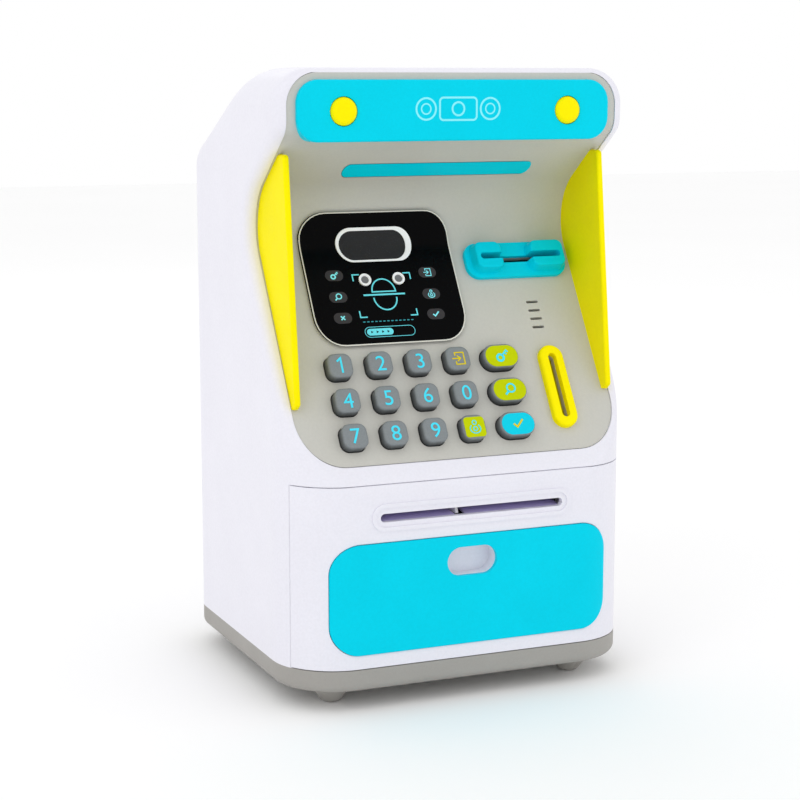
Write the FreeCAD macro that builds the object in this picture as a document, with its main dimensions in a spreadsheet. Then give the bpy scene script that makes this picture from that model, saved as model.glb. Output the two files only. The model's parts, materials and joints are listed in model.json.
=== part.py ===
import FreeCAD, Part
import math
import os
import re
from FreeCAD import Placement, Rotation, Vector

# Toy cash machine savings bank.  X runs to the right, Y to the back, Z up.  Millimetres.
# The origin lies on the ground under the middle of the bank, which stands on four feet.

doc = FreeCAD.newDocument("toy_cash_machine")

# Driving dimensions -----------------------------------------------------------------------

DIMS = {
    # Body outline
    "half_width": 80.0, "front_y": 69.4, "rear_y": 70.0, "body_top": 265.0,
    "front_corner": 28.0, "rear_corner": 18.0, "wall": 3.0, "top_round": 15.0,
    "edge_round": 4.5, "crest_y": -1.6, "back_fall": 0.49,
    # Base and feet
    "base_low": 8.5, "base_top": 18.0, "floor_top": 11.0, "base_round": 3.5,
    "foot_x": 56.9, "foot_y": 49.2, "foot_radius": 7.5, "foot_flat": 4.0,
    # Sloping front
    "slope_deg": 58.57, "slope_y": 64.8, "slope_z": 103.1, "canopy_y": 50.8,
    "window_half": 74.0, "window_flare": 1.2, "window_low": 103.0, "window_high": 263.2,
    "fascia_sunk": 0.5, "fascia_wall": 2.5,
    # Door
    "door_top": 95.6, "door_gap": 0.4, "seam_y": 54.5, "hinge_x": 73.0, "hinge_y": 42.0,
    "pin_radius": 1.5, "slot_z": 81.7,
    # Keys
    "key_w": 11.0, "key_h": 11.0, "pill_w": 16.6, "key_rise": 4.6,
    "key_gap": 0.3, "key_pitch_x": 18.0, "key_pitch_u": 15.8,
    # Note feed
    "drive_radius": 6.0, "idler_radius": 5.0, "shaft_radius": 2.0, "idler_shaft": 1.5,
    "deck_low": 96.5, "deck_high": 98.5,
    # Batteries, screws, switch
    "bay_half": 28.0, "bay_front": 7.0, "bay_back": 58.0, "bay_roof": 29.0,
    "screw_head": 2.7, "screw_shank": 1.4,
}

sheet = doc.addObject("Spreadsheet::Sheet", "dims")
for row, (alias, value) in enumerate(DIMS.items(), start=1):
    sheet.set(f"A{row}", alias)
    sheet.set(f"B{row}", str(value))
    sheet.setAlias(f"B{row}", alias)
doc.recompute()


def dim(alias):
    return float(sheet.get(alias))


def formula(text):
    """Turn a formula in bare dimension names into one that points at the sheet."""
    return re.sub(r"\b([a-z]+(?:_[a-z]+)*)\b", r"dims.\1", str(text))


def bind(obj, prop, text):
    obj.setExpression(prop, formula(text))


parts = []


def publish(obj, label, place=None):
    """Name a finished sub-part, set it in place and list it for the STEP files."""
    obj.Label = label
    if place is not None:
        obj.Placement = place
    parts.append(obj)
    return obj


# Outlines ---------------------------------------------------------------------------------

def outline(corners, closed=True):
    """Lines and arcs through (x, y, radius) corners, each rounded by its own radius."""
    count = len(corners)
    joints = []
    for i, (x, y, radius) in enumerate(corners):
        here = Vector(x, y, 0)
        inner = closed or 0 < i < count - 1
        if radius <= 0 or not inner:
            joints.append((here, None, here))
            continue
        before = Vector(*corners[i - 1][:2], 0) - here
        after = Vector(*corners[(i + 1) % count][:2], 0) - here
        before.normalize()
        after.normalize()
        half = before.getAngle(after) / 2
        reach = radius / math.tan(half)
        middle = before + after
        middle.normalize()
        centre = here + middle * (radius / math.sin(half))
        joints.append((here + before * reach, centre - middle * radius, here + after * reach))
    geometry = []
    last = count if closed else count - 1
    for i, (start, bulge, end) in enumerate(joints):
        if bulge is not None:
            geometry.append(Part.Arc(start, bulge, end))
        if i < last:
            following = joints[(i + 1) % count][0]
            if (following - end).Length > 1e-6:
                geometry.append(Part.LineSegment(end, following))
    return geometry


def box_outline(x0, y0, x1, y1, radius=0.0):
    return outline([(x0, y0, radius), (x1, y0, radius), (x1, y1, radius), (x0, y1, radius)])


def pill_outline(x, y, length, height):
    """A slot with round ends; the long side is along the first direction."""
    radius = min(length, height) / 2 - 0.001
    return box_outline(x - length / 2, y - height / 2, x + length / 2, y + height / 2, radius)


def circle(x, y, radius):
    return [Part.Circle(Vector(x, y, 0), Vector(0, 0, 1), radius)]


def plan_outline(inset):
    """The bank seen from above, drawn in by the inset."""
    half = dim("half_width") - inset
    front = -dim("front_y") + inset
    rear = dim("rear_y") - inset
    nose = dim("front_corner") - inset
    tail = dim("rear_corner") - inset
    return outline([(-half, front, nose), (half, front, nose), (half, rear, tail), (-half, rear, tail)])


def offset_path(corners, inset):
    """Move an open (x, y, radius) path to its right-hand side by the inset."""
    lines = []
    for (x0, y0, _), (x1, y1, _) in zip(corners, corners[1:]):
        along = Vector(x1 - x0, y1 - y0, 0)
        along.normalize()
        side = Vector(along.y, -along.x, 0) * inset
        lines.append((Vector(x0, y0, 0) + side, along))
    moved = [lines[0][0]]
    for (p, a), (q, b) in zip(lines, lines[1:]):
        cross = a.x * b.y - a.y * b.x
        gap = q - p
        moved.append(p + a * ((gap.x * b.y - gap.y * b.x) / cross))
    end = Vector(corners[-1][0], corners[-1][1], 0)
    p, a = lines[-1]
    moved.append(p + a * ((end - p).dot(a)))
    result = []
    for i, point in enumerate(moved):
        radius = corners[i][2]
        if 0 < i < len(moved) - 1 and radius > 0:
            a, b = lines[i - 1][1], lines[i][1]
            turn = a.x * b.y - a.y * b.x
            radius = max(radius + (inset if turn > 0 else -inset), 0.5)
        result.append((point.x, point.y, radius))
    return result


def front_path(bottom, top):
    """Side view (Y, Z) of the front: door face, sloping desk, hollow, canopy."""
    tilt = math.radians(dim("slope_deg"))
    run, rise = math.cos(tilt), math.sin(tilt)
    knee_u = (dim("slope_y") - dim("front_y")) / run
    knee = (-dim("front_y"), dim("slope_z") + knee_u * rise, 12.0)
    hollow = (-2.8, 204.5, 23.4)
    brow = (-dim("canopy_y"), 240.0, 9.0)
    return [(-dim("front_y"), bottom, 0), knee, hollow, brow, (-dim("canopy_y"), top, 0)]


def front_band(outer, inner, bottom=90.0, top=263.0):
    """Closed outline between two depths of the front, for the skins that follow it."""
    path = front_path(bottom, top)
    near = offset_path(path, outer)
    far = offset_path(path, inner)
    return outline(near + far[::-1])


def body_outline(inset):
    """Closed side view of the whole body, drawn in by the inset."""
    bottom = dim("base_top") - (1.0 if inset else 0.0)
    front = offset_path(front_path(bottom, dim("body_top")), inset)
    roof = dim("body_top") - inset
    back = dim("rear_y") - inset
    fall = dim("back_fall")
    crest = dim("crest_y") - inset * (math.sqrt(1 + fall * fall) - 1) / fall
    low = roof - (back - crest) * fall
    corners = front[:-1] + [(front[-1][0], roof, 0), (crest, roof, 90.0)]
    return outline(corners + [(back, low, 0), (back, bottom, 0)])


# Solids -----------------------------------------------------------------------------------

PLANES = {"x": "YZ_Plane", "y": "XZ_Plane", "z": "XY_Plane"}


def sketch_on(body, axis, level, loops):
    """A sketch square to the axis at the level; its drawing runs along the other two axes."""
    sketch = body.newObject("Sketcher::SketchObject", body.Name + "_sketch")
    plane = next(f for f in body.Origin.OriginFeatures if f.Role == PLANES[axis])
    sketch.AttachmentSupport = [(plane, "")]
    sketch.MapMode = "FlatFace"
    sign = "-" if axis == "y" else ""
    bind(sketch, ".AttachmentOffset.Base.z", f"{sign}({level})")
    for loop in loops:
        sketch.addGeometry(loop, False)
    return sketch


def pad(body, axis, low, high, *loops):
    """Pad the loops from the low to the high level along the axis."""
    level = high if axis == "y" else low
    feature = body.newObject("PartDesign::Pad", body.Name + "_pad")
    feature.Profile = sketch_on(body, axis, level, loops)
    bind(feature, "Length", f"({high}) - ({low})")
    return feature


def pocket(body, axis, low, high, *loops):
    """Cut the loops out of the body from the low to the high level along the axis."""
    level = low if axis == "y" else high
    before = body.Shape.Volume if body.Tip else 0
    feature = body.newObject("PartDesign::Pocket", body.Name + "_pocket")
    feature.Profile = sketch_on(body, axis, level, loops)
    bind(feature, "Length", f"({high}) - ({low})")
    doc.recompute()
    if not body.Shape.Volume < before - 1e-6:
        raise RuntimeError(body.Name + ": a pocket cuts nothing")
    return feature


def prism(name, axis, low, high, *loops):
    body = doc.addObject("PartDesign::Body", name)
    pad(body, axis, low, high, *loops)
    doc.recompute()
    return body


def edge_names(feature, wanted):
    """Names of the feature's edges whose middle point passes the test."""
    names = []
    for i, edge in enumerate(feature.Shape.Edges, start=1):
        middle = edge.valueAt((edge.FirstParameter + edge.LastParameter) / 2)
        if wanted(edge, middle):
            names.append(f"Edge{i}")
    return names


def fillet(body, radius, wanted):
    base = body.Tip
    feature = body.newObject("PartDesign::Fillet", body.Name + "_fillet")
    feature.Base = (base, edge_names(base, wanted))
    bind(feature, "Radius", radius)
    doc.recompute()
    return feature


def joined(name, solids):
    fused = doc.addObject("Part::MultiFuse", name)
    fused.Shapes = solids
    return fused


def cut(name, base, *tools):
    feature = doc.addObject("Part::Cut", name)
    feature.Base = base
    feature.Tool = tools[0] if len(tools) == 1 else joined(name + "_tools", list(tools))
    return feature


def common(name, base, tool):
    feature = doc.addObject("Part::Common", name)
    feature.Base = base
    feature.Tool = tool
    return feature


def cylinder(name, radius, length, at, direction=Vector(0, 0, 1)):
    rod = doc.addObject("Part::Cylinder", name)
    bind(rod, "Radius", radius)
    bind(rod, "Height", length)
    rod.Placement = Placement(at, Rotation(Vector(0, 0, 1), direction))
    return rod


def desk_place(x, u, lift=0.0):
    """Placement on the sloping desk: x across, u up the slope, local Z out of the desk."""
    tilt = math.radians(dim("slope_deg"))
    y = -dim("slope_y") + u * math.cos(tilt) - lift * math.sin(tilt)
    z = dim("slope_z") + u * math.sin(tilt) + lift * math.cos(tilt)
    return Placement(Vector(x, y, z), Rotation(Vector(1, 0, 0), dim("slope_deg")))


def on_desk(name, low, high, x, u, *loops):
    """A prism that stands square to the sloping desk."""
    body = prism(name, "z", low, high, *loops)
    body.Placement = desk_place(x, u)
    return body


# Main shell -------------------------------------------------------------------------------

def hull(name, inset, soft=False):
    """The body's outer form, or its cavity when drawn in; a soft one has rounded front edges."""
    body = prism(name, "x", "-half_width", "half_width", body_outline(inset))
    frame = box_outline(-120, -120, 120, 120)
    pocket(body, "z", "0", "body_top + 20", frame, plan_outline(inset))

    def rim(edge, middle):
        """Edges round the roof and the back slope, but not those of the front."""
        start, end = edge.Vertexes[0].Point, edge.Vertexes[-1].Point
        upright = abs(start.x - end.x) < 0.01 and abs(start.y - end.y) < 0.01
        across = abs(middle.x) < 1 and middle.y < dim("rear_y") - inset - 1
        high = middle.z > (255 if middle.y < -20 else 220)
        return high and not upright and not across

    def brim(edge, middle):
        """Edges where the desk, the hollow and the canopy meet the sides and the roof."""
        start, end = edge.Vertexes[0].Point, edge.Vertexes[-1].Point
        level = abs(start.z - end.z) < 0.01 and abs(middle.x) > 1
        behind = abs(start.y - end.y) < 0.01 and middle.y > 1 - dim("canopy_y")
        return middle.z > 100 and middle.y < -5 and not level and not behind

    fillet(body, f"top_round - {inset}", rim)
    if soft:
        fillet(body, "edge_round", brim)
    return body


cavity = hull("cavity", dim("wall"))
skin = cut("body_skin", hull("outer_form", 0, soft=True), cavity)
door_blank = cut("door_blank", hull("door_form", 0), cavity)


def skin_piece(name, outer_depth, inner_depth, window):
    """A skin that follows the front between two depths, trimmed to a front-view window."""
    section = front_band(outer_depth, inner_depth)
    band = prism(name + "_band", "x", "-half_width", "half_width", section)
    trim = prism(name + "_trim", "y", "-80", "30", window)
    return common(name + "_blank", band, trim)


def window_outline(inset):
    """Front view of the fascia's window, which widens a little towards the top."""
    low_half = dim("window_half") - inset
    top_half = low_half + dim("window_flare")
    low, high = dim("window_low") + inset, dim("window_high") - inset
    return outline([(-low_half, low, 20 - inset), (low_half, low, 20 - inset),
                    (top_half, high, 13.5 - inset), (-top_half, high, 13.5 - inset)])


fascia_window = skin_piece("fascia_window", -3.0, dim("wall") + 0.3, window_outline(0))


def door_region(name, low, high, back):
    """The part of the front that swings open, with bevelled side seams seen from above."""
    drop = 0.46
    edge = dim("half_width") + 10
    seam_x = dim("half_width") - 3.75
    outer_y = back - (seam_x - edge) * drop
    inner_y = back - (seam_x - 60) * drop
    corners = [(-edge, outer_y, 0), (-60, inner_y, 0), (60, inner_y, 0), (edge, outer_y, 0),
               (edge, -80, 0), (-edge, -80, 0)]
    return prism(name, "z", low, high, outline(corners))


door_space = door_region("door_space", "base_top - 2", "door_top + door_gap", -dim("seam_y"))
switch_hole = prism("switch_hole", "y", "60", "75", box_outline(46.4, 30.6, 56.6, 35.4, 1.0))

SCREW_SPOTS = [(x, y) for x in (-72.5, 72.5) for y in (-8.0, 44.0)]
posts, pilots = [], []
for i, (x, y) in enumerate(SCREW_SPOTS):
    wall_x = math.copysign(77.5, x)
    rib = box_outline(min(x, wall_x), y - 1.5, max(x, wall_x), y + 1.5)
    posts.append(cylinder(f"post_{i}", "4", "49", Vector(x, y, 11)))
    posts.append(prism(f"rib_{i}", "z", "18.5", "60", rib))
    pilots.append(cylinder(f"pilot_{i}", "screw_shank", "20", Vector(x, y, 8)))
shell_open = cut("shell_open", skin, fascia_window, door_space, switch_hole)
publish(cut("shell", joined("shell_solid", [shell_open] + posts), *pilots), "shell")

# Base, feet and battery bay ---------------------------------------------------------------

base = prism("base_tray", "z", "base_low", "base_top", plan_outline(0))
fillet(base, "base_round", lambda edge, middle: middle.z < dim("base_low") + 0.01)
pocket(base, "z", "floor_top", "base_top", plan_outline(dim("wall")))
bay = box_outline(-dim("bay_half"), dim("bay_front"), dim("bay_half"), dim("bay_back"), 2)
pocket(base, "z", "base_low - 1", "floor_top + 1", bay)
pocket(base, "z", "base_low", "base_low + 1.6", *[circle(x, y, 3.0) for x, y in SCREW_SPOTS])
pocket(base, "z", "base_low", "floor_top + 1", *[circle(x, y, 1.5) for x, y in SCREW_SPOTS])
pad(base, "z", "floor_top - 0.5", "24", circle(-dim("hinge_x"), -dim("hinge_y"), 3.8))
doc.recompute()
pocket(base, "z", "floor_top", "25", circle(-dim("hinge_x"), -dim("hinge_y"), dim("pin_radius")))
publish(base, "base")


def foot(label, x, y):
    body = doc.addObject("PartDesign::Body", label)
    radius, flat, height = dim("foot_radius"), dim("foot_flat"), dim("base_low")
    loop = outline([(0, 0, 0), (flat, 0, 3.0), (radius, 5.0, 2.5), (radius, height, 0), (0, height, 0)])
    sketch = sketch_on(body, "y", "0", [loop])
    turn = body.newObject("PartDesign::Revolution", label + "_turn")
    turn.Profile = sketch
    turn.ReferenceAxis = (sketch, ["V_Axis"])
    turn.Angle = 360
    doc.recompute()
    body.Placement = Placement(Vector(x, y, 0), Rotation())
    bind(body, ".Placement.Base.x", ("-" if x < 0 else "") + "foot_x")
    bind(body, ".Placement.Base.y", ("-" if y < 0 else "") + "foot_y")
    return publish(body, label)


foot("foot_front_left", -1, -1)
foot("foot_front_right", 1, -1)
foot("foot_rear_left", -1, 1)
foot("foot_rear_right", 1, 1)

battery_box = prism("battery_box_solid", "z", "floor_top", "bay_roof",
                    box_outline(-31, 4, 31, 61, 3))
pocket(battery_box, "z", "floor_top", "bay_roof - 1.5", box_outline(-29, 6, 29, 59, 2))
publish(battery_box, "battery_box")

cover = prism("battery_cover_solid", "z", "base_low", "base_low + 2",
              box_outline(-27.7, 7.3, 27.7, 57.7, 2))
tongues = [(-20, -12), (12, 20)]
pad(cover, "z", "base_low + 1.5", "floor_top + 0.8", box_outline(-5, 55.5, 5, 57.6),
    *[box_outline(x0, 7.4, x1, 9.2) for x0, x1 in tongues])
pad(cover, "z", "floor_top + 0.1", "floor_top + 0.8", box_outline(-5, 57.0, 5, 58.6),
    *[box_outline(x0, 6.5, x1, 8.0) for x0, x1 in tongues])
doc.recompute()
grips = [box_outline(-12, y, 12, y + 1.2, 0.5) for y in (45, 48, 51)]
pocket(cover, "z", "base_low", "base_low + 0.5", *grips)
publish(cover, "battery_cover")

contacts = []
for i, x in enumerate((-17.0, 0.0, 17.0)):
    for y, end in ((6.0, "front"), (58.7, "back")):
        plate = box_outline(x - 5, 13, x + 5, 24, 1)
        contacts.append(prism(f"contact_{end}_{i}", "y", str(y), str(y + 0.3), plate))
contact_group = doc.addObject("Part::Compound", "battery_contacts_group")
contact_group.Links = contacts
publish(contact_group, "battery_contacts")


def screw(name, x, y, low, length):
    """Pan-head screw with a cross recess, driven upwards from below."""
    body = prism(name, "z", str(low), str(low + 1.5), circle(0, 0, dim("screw_head")))
    pad(body, "z", str(low + 1.5), str(low + length), circle(0, 0, dim("screw_shank")))
    doc.recompute()
    cross = outline([(-1.6, -0.3, 0), (-0.3, -0.3, 0), (-0.3, -1.6, 0), (0.3, -1.6, 0), (0.3, -0.3, 0),
                     (1.6, -0.3, 0), (1.6, 0.3, 0), (0.3, 0.3, 0), (0.3, 1.6, 0), (-0.3, 1.6, 0),
                     (-0.3, 0.3, 0), (-1.6, 0.3, 0)])
    pocket(body, "z", str(low - 1), str(low + 0.9), cross)
    body.Placement = Placement(Vector(x, y, 0), Rotation())
    return body


screws = [screw(f"case_screw_{i}", x, y, 8.6, 15.0) for i, (x, y) in enumerate(SCREW_SPOTS)]
screw_group = doc.addObject("Part::Compound", "case_screws_group")
screw_group.Links = screws
publish(screw_group, "case_screws")

# Fascia, sign, light strip, face panel ----------------------------------------------------

sunk = dim("fascia_sunk")
fascia_back = sunk + dim("fascia_wall")
fascia_blank = skin_piece("fascia", sunk, fascia_back, window_outline(0.2))

KEY_X0, KEY_U0 = -50.2, 12.3
SQUARE_KEYS = [("key_7", 0, 0), ("key_8", 1, 0), ("key_9", 2, 0), ("key_money", 3, 0),
               ("key_4", 0, 1), ("key_5", 1, 1), ("key_6", 2, 1), ("key_0", 3, 1),
               ("key_1", 0, 2), ("key_2", 1, 2), ("key_3", 2, 2), ("key_exit", 3, 2)]
PILL_X = 24.2
BOARD_FIXINGS = [(x, u) for x in (-62.5, 40.2) for u in (6.0, 48.0)]
PILL_KEYS = [("key_confirm", 0), ("key_search", 1), ("key_unlock", 2)]


def key_spot(column, line):
    return KEY_X0 + column * dim("key_pitch_x"), KEY_U0 + line * dim("key_pitch_u")


def key_window(width, grow, x=0.0, u=0.0):
    w, h = width + grow, dim("key_h") + grow
    radius = 3.6 + grow / 2 if width < 15 else h / 2 - 0.01
    return box_outline(x - w / 2, u - h / 2, x + w / 2, u + h / 2, radius)


gap = 2 * dim("key_gap")
windows = [key_window(dim("key_w"), gap, *key_spot(column, line)) for _, column, line in SQUARE_KEYS]
windows += [key_window(dim("pill_w"), gap, PILL_X, key_spot(0, line)[1]) for _, line in PILL_KEYS]
coin_x, coin_u = 49.3, 29.3
coin_mouth = box_outline(coin_x - 1.9, coin_u - 15, coin_x + 1.9, coin_u + 15, 1.89)
speaker_x, speaker_u = 48.0, 64.5
speaker_slots = [pill_outline(speaker_x, speaker_u + up, 5.8, 1.2) for up in (-6.1, -2.0, 2.0, 6.1)]
card_slot = pill_outline(44.7, 90.9, 39.2, 3.0)
sensor_hole = box_outline(-45, 66, 3, 96, 3)
openings = on_desk("desk_openings", "-6", "3", 0, 0,
                   *windows, *speaker_slots, coin_mouth, card_slot, sensor_hole)
strip_hole = prism("strip_hole", "y", "-60", "0", box_outline(-41.4, 219.2, 47.0, 225.2, 2.99))
board_bosses = on_desk("board_bosses", "-7.4", "-fascia_sunk - fascia_wall + 0.1", 0, 0,
                       *[circle(x, u, 2.2) for x, u in BOARD_FIXINGS])
board_pins = on_desk("board_pins", "-9.8", "-7.3", 0, 0,
                     *[circle(x, u, 1.0) for x, u in BOARD_FIXINGS])
fascia_plate = cut("fascia_plate", fascia_blank, openings, strip_hole)
publish(joined("fascia_joined", [fascia_plate, board_bosses, board_pins]), "fascia")

strip_window = box_outline(-41.2, 219.4, 46.8, 225.0, 2.79)
publish(skin_piece("light_strip", sunk - 0.2, fascia_back, strip_window), "light_strip")


def inside_front(name, x0, x1):
    """The space behind the fascia's face, cut away from pieces that lie on it."""
    face = offset_path(front_path(90.0, 263.0), sunk)
    return prism(name, "x", str(x0), str(x1), outline(face + [(60, 263, 0), (60, 90, 0)]))


LAMPS = {"lamp_left": -51.0, "lamp_right": 51.0}
LAMP_Z = 247.4
board = prism("sign_board_slab", "y", "-canopy_y - 1.8", "-30", box_outline(-71, 235.0, 71, 260.2, 9.5))
fillet(board, "1.2", lambda edge, middle: middle.y < -dim("canopy_y") - 1.7)
lamp_holes = [cylinder(label + "_hole", "6.05", "20", Vector(x, -40, LAMP_Z), Vector(0, -1, 0))
              for label, x in LAMPS.items()]
publish(cut("sign_board_cut", board, inside_front("sign_board_back", -75, 75), *lamp_holes), "sign_board")
for label, x in LAMPS.items():
    lamp = prism(label + "_dome", "y", "-canopy_y - 3.6", "-canopy_y + fascia_sunk", circle(x, LAMP_Z, 5.8))
    fillet(lamp, "2.4", lambda edge, middle: middle.y < -dim("canopy_y") - 3.5)
    publish(lamp, label)

screen_window = box_outline(-56.2, 149.4, 13.8, 204.0, 12.0)
publish(skin_piece("face_panel", -0.9, sunk, screen_window), "face_panel")
camera_hole = box_outline(-38.3, 183.5, -7.2, 195.7, 6.09)
ring_blank = skin_piece("camera_ring", -1.4, -0.9, box_outline(-39.7, 182.7, -4.4, 197.1, 7.19))
ring_hole = prism("ring_hole", "y", "-80", "30", camera_hole)
publish(cut("camera_ring_cut", ring_blank, ring_hole), "camera_ring")
publish(skin_piece("camera_window", -1.15, -0.9, camera_hole), "camera_window")
for label, x in (("sensor_left", -29.6), ("sensor_right", -14.0)):
    lens = on_desk(label + "_lens", "0.9", "1.7", x, 84.0, circle(0, 0, 2.8))
    pocket(lens, "z", "1.3", "2", circle(0, 0, 2.0))
    publish(lens, label)

# Yellow side wings ------------------------------------------------------------------------


def wing(label, x0, x1):
    """Side cheek: straight front edge, back edge lying on the fascia."""
    side_view = outline([(-42.6, 230.0, 2.0), (-54.4, 128.3, 2.0), (-51.6, 126.3, 0),
                         (20, 126.3, 0), (20, 230.0, 0)])
    slab = prism(label + "_slab", "x", str(x0), str(x1), side_view)
    fillet(slab, "1.0", lambda edge, middle: -52 < middle.y < -44 and abs(middle.z - 179) < 10)
    return publish(cut(label + "_cut", slab, inside_front(label + "_back", x0 - 1, x1 + 1)), label)


wing("wing_left", -73.7, -71.0)
wing("wing_right", 71.0, 73.7)

# Keypad -----------------------------------------------------------------------------------


def key(label, width, x, u):
    """Rubber-feel key cap with a flange that keeps it behind the fascia."""
    cap = prism(label + "_cap", "z", "-fascia_sunk - fascia_wall - 0.6", "key_rise", key_window(width, 0))
    fillet(cap, "1.2", lambda edge, middle: middle.z > dim("key_rise") - 0.01)
    flange_high = "-fascia_sunk - fascia_wall - 0.4"
    pad(cap, "z", flange_high + " - 1", flange_high, key_window(width, 1.8))
    doc.recompute()
    return publish(cap, label, desk_place(x, u))


for label, column, line in SQUARE_KEYS:
    key(label, dim("key_w"), *key_spot(column, line))
for label, line in PILL_KEYS:
    key(label, dim("pill_w"), PILL_X, key_spot(0, line)[1])

mat = on_desk("key_mat_sheet", "-7.4", "-6.2", 0, 0, box_outline(-60, 2, 36, 51.5, 2))
publish(mat, "key_mat")
pcb = on_desk("key_board_sheet", "-9", "-7.4", 0, 0, box_outline(-65, 1.5, 43, 52, 2),
              *[circle(x, u, 1.1) for x, u in BOARD_FIXINGS])
publish(pcb, "key_board")

# Card slot, coin slot and coin chute ------------------------------------------------------

card = on_desk("card_reader_block", "-fascia_sunk", "1.6", 0, 0, box_outline(19.6, 82.4, 68.0, 99.1, 6.0))
humps = pad(card, "z", "1.5", "6.4",
            box_outline(22.2, 84.4, 36.6, 98.7, 4.0), box_outline(49.3, 84.4, 67.2, 98.7, 4.0))
humps.TaperAngle = -12.0
doc.recompute()
fillet(card, "0.8", lambda edge, middle: abs(middle.z - 6.4) < 0.01)
pocket(card, "z", "-1", "7", card_slot)
publish(card, "card_reader")

coin = on_desk("coin_bezel_block", "-fascia_sunk", "2.6", 0, 0,
               box_outline(coin_x - 5.7, coin_u - 19.2, coin_x + 5.7, coin_u + 19.2, 5.69))
fillet(coin, "1.2", lambda edge, middle: middle.z > 2.55)
pocket(coin, "z", "-1", "3", coin_mouth)
publish(coin, "coin_bezel")


def chute_outline(inset, reach):
    """Side view of the chute that takes a coin from the slot down through the deck."""
    tilt = math.radians(dim("slope_deg"))
    run, rise = math.cos(tilt), math.sin(tilt)

    def behind(u, depth):
        return (-dim("slope_y") + u * run + depth * rise, dim("slope_z") + u * rise - depth * run)

    low = behind(coin_u - 18 + inset, fascia_back - reach)
    high = behind(coin_u + 18 - inset, fascia_back - reach)
    floor = dim("deck_high") - reach
    return outline([(*low, 0), (*high, 0), (-8 - inset, 136 - inset, 0),
                    (-8 - inset, floor, 0), (-38 + inset, floor, 0)])


chute_body = prism("coin_chute_box", "x", str(coin_x - 3.4), str(coin_x + 3.4), chute_outline(0, 0))
pocket_tool = prism("coin_chute_way", "x", str(coin_x - 2.2), str(coin_x + 2.2), chute_outline(1.2, 4.0))
publish(cut("coin_chute_cut", chute_body, pocket_tool), "coin_chute")

speaker = on_desk("speaker_can", "-10", "-fascia_sunk - fascia_wall",
                  speaker_x, speaker_u + 1, circle(0, 0, 12))
pad(speaker, "z", "-15", "-10", circle(0, 0, 8))
doc.recompute()
pocket(speaker, "z", "-4.6", "-3", circle(0, 0, 10.5))
publish(speaker, "speaker")

# Deck, circuit board and note feed --------------------------------------------------------

deck = prism("deck_plate", "z", "deck_low", "deck_high",
             outline([(-77, -63.5, 28), (77, -63.5, 28), (77, 67, 15), (-77, 67, 15)]))
pocket(deck, "z", "deck_low", "deck_high", box_outline(coin_x - 2.2, -36.8, coin_x + 2.2, -9.2))
board_posts = [(x, y) for x in (-56, 16) for y in (4, 46)]
pad(deck, "z", "deck_high - 0.5", "deck_high + 4", *[circle(x, y, 3) for x, y in board_posts])
doc.recompute()
publish(deck, "deck")

main_board = prism("main_board_sheet", "z", "deck_high + 4", "deck_high + 5.6",
                   box_outline(-60, 0, 20, 50, 2))
pad(main_board, "z", "deck_high + 5.5", "deck_high + 8",
    box_outline(-40, 14, -24, 30), box_outline(-8, 10, 2, 24))
pad(main_board, "z", "deck_high + 5.5", "deck_high + 14", box_outline(-54, 36, -46, 44), circle(-34, 42, 4))
doc.recompute()
publish(main_board, "main_board")

ALONG_X = Vector(1, 0, 0)
ROLLER_Y = -50
drive_z = dim("slot_z") - 0.15 - dim("drive_radius")
idler_z = dim("slot_z") + 0.15 + dim("idler_radius")
cheeks = prism("feed_cheeks", "x", "-46", "-44", box_outline(-60, 68, -40, dim("deck_low"), 0))
pad(cheeks, "x", "44", "46", box_outline(-60, 68, -40, dim("deck_low"), 0))
bridge = prism("feed_bridge", "z", "deck_low - 2", "deck_low", box_outline(-46, -60, 46, -40))
fin = prism("feed_fin", "x", "-6.6", "-5.4",
            outline([(-65.9, 80.2, 0), (-57.5, 80.2, 0), (-57.5, 95.0, 0), (-61.0, 95.0, 0)]))
drive_hole = cylinder("drive_hole", "shaft_radius + 0.05", "120", Vector(-60, ROLLER_Y, drive_z), ALONG_X)
idler_hole = cylinder("idler_hole", "idler_shaft + 0.05", "120", Vector(-60, ROLLER_Y, idler_z), ALONG_X)
feed_solid = joined("feed_frame_solid", [cheeks, bridge, fin])
publish(cut("feed_frame_cut", feed_solid, drive_hole, idler_hole), "feed_frame")


def roller(label, shaft, wheel, z, reach):
    """Shaft along X with two rubber-tyred wheels that grip the note."""
    solids = [cylinder(label + "_shaft", shaft, reach, Vector(-48, ROLLER_Y, z), ALONG_X)]
    for side, x in (("left", -32.0), ("right", 16.0)):
        solids.append(cylinder(f"{label}_{side}", wheel, "16", Vector(x, ROLLER_Y, z), ALONG_X))
    return publish(joined(label + "_solid", solids), label)


roller("drive_roller", "shaft_radius", "drive_radius", drive_z, "104")
roller("idler_roller", "idler_shaft", "idler_radius", idler_z, "93.6")

gearbox = prism("feed_motor_case", "x", "46", "57", box_outline(-60, 66, -40, 90, 3))
can = cylinder("feed_motor_can", "9.5", "25", Vector(51.5, ROLLER_Y, 42))
shaft_bore = cylinder("feed_motor_bore", "shaft_radius + 0.05", "11",
                      Vector(45.5, ROLLER_Y, drive_z), ALONG_X)
publish(cut("feed_motor_cut", joined("feed_motor_solid", [gearbox, can]), shaft_bore), "feed_motor")

# Door -------------------------------------------------------------------------------------

door_zone = door_region("door_zone", "base_top + door_gap", "door_top", -dim("seam_y") - dim("door_gap"))
door_skin = common("door_skin", door_blank, door_zone)
door_front = -dim("front_y")


def front_face(name, outer_inset, inner_inset, window):
    """Upright skin that follows the door's plan between two depths, trimmed to a front-view window."""
    ring = prism(name + "_ring", "z", "base_top + 1", "door_top - 0.6",
                 plan_outline(outer_inset), plan_outline(inner_inset))
    trim = prism(name + "_trim", "y", "-80", "-44", window)
    return common(name, ring, trim)


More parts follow.
